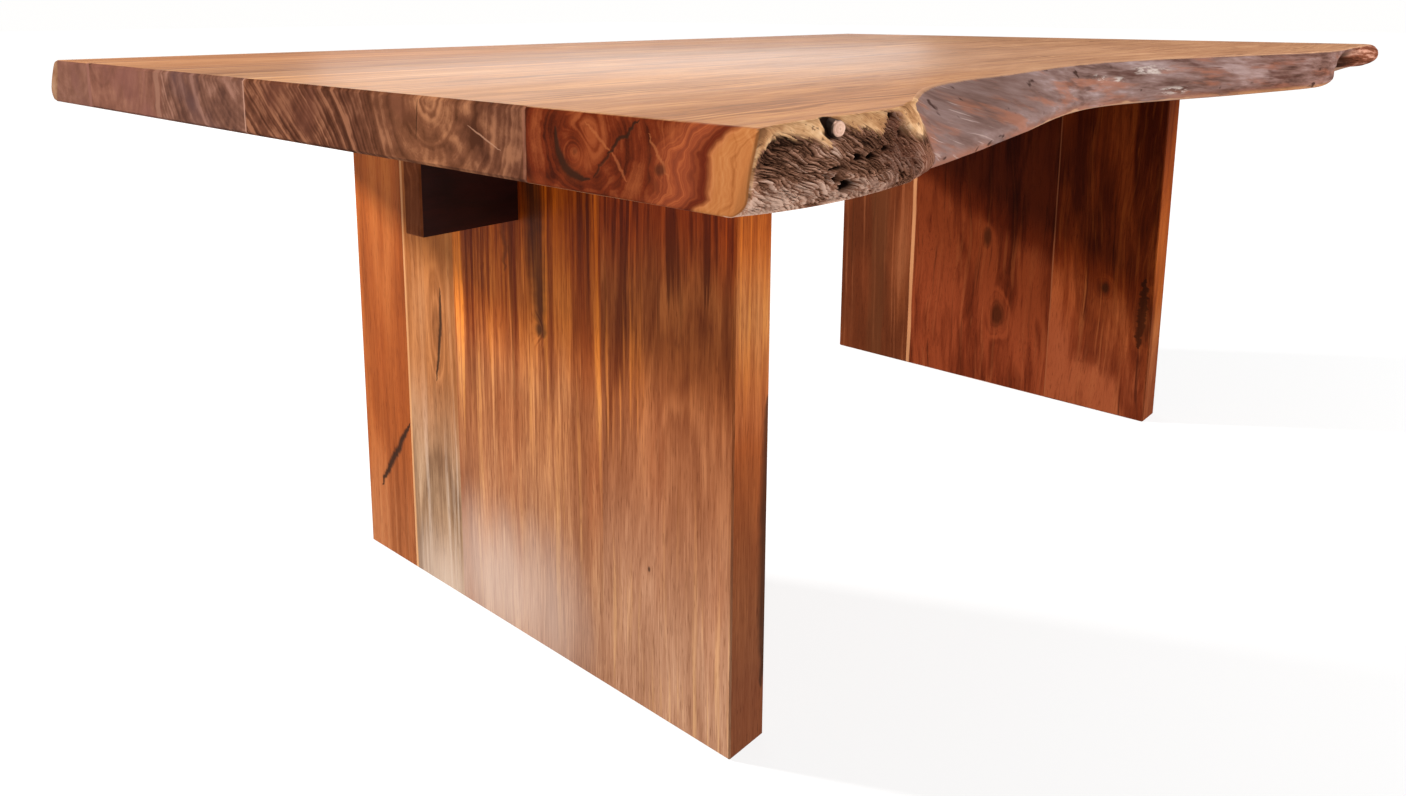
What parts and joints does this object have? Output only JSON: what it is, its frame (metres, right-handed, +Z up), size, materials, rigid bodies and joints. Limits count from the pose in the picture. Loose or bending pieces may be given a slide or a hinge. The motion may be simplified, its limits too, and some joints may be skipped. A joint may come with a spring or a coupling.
{
  "type": "live edge dining table",
  "caption": "Dining table with a thick glued slab top, natural live edges, wide panel legs and a board on edge that joins them under the top.",
  "frame": {"origin": "on the floor, under the middle of the top", "axes": "+X along the table's length, +Y from the scooped live edge towards the straighter one, +Z up"},
  "size_m": [2.02, 1.2904, 0.762],
  "materials": {
    "top_front_board": "satin lacquer over natural edge",
    "top_heart_board": "satin lacquer",
    "top_inner_board": "satin lacquer",
    "top_outer_board": "satin lacquer",
    "top_back_board": "satin lacquer over natural edge",
    "left_leg_front_stave": "satin lacquer",
    "left_leg_wide_stave": "satin lacquer",
    "left_leg_pale_stave": "satin lacquer",
    "left_leg_back_stave": "satin lacquer",
    "right_leg_front_stave": "satin lacquer",
    "right_leg_middle_stave": "satin lacquer",
    "right_leg_back_stave": "satin lacquer",
    "beam": "dark satin lacquer",
    "dowel_wood": "plain beech",
    "bracket_steel": "matt black",
    "zinc_steel": "zinc plated",
    "insert_brass": "plain"
  },
  "bodies": {
    "root": {"top_front_board": "top_front_board", "top_heart_board": "top_heart_board", "top_inner_board": "top_inner_board", "top_outer_board": "top_outer_board", "top_back_board": "top_back_board", "left_leg_front_stave": "left_leg_front_stave", "left_leg_wide_stave": "left_leg_wide_stave", "left_leg_pale_stave": "left_leg_pale_stave", "left_leg_back_stave": "left_leg_back_stave", "right_leg_front_stave": "right_leg_front_stave", "right_leg_middle_stave": "right_leg_middle_stave", "right_leg_back_stave": "right_leg_back_stave", "beam": "beam", "top_dowels": "dowel_wood", "leg_dowels": "dowel_wood", "bracket_left_front": "bracket_steel", "bracket_left_back": "bracket_steel", "bracket_right_front": "bracket_steel", "bracket_right_back": "bracket_steel", "bracket_bolts": "zinc_steel", "beam_bolts": "zinc_steel", "bolt_washers": "zinc_steel", "leg_screws": "zinc_steel", "thread_inserts": "insert_brass"}
  },
  "joints": []
}
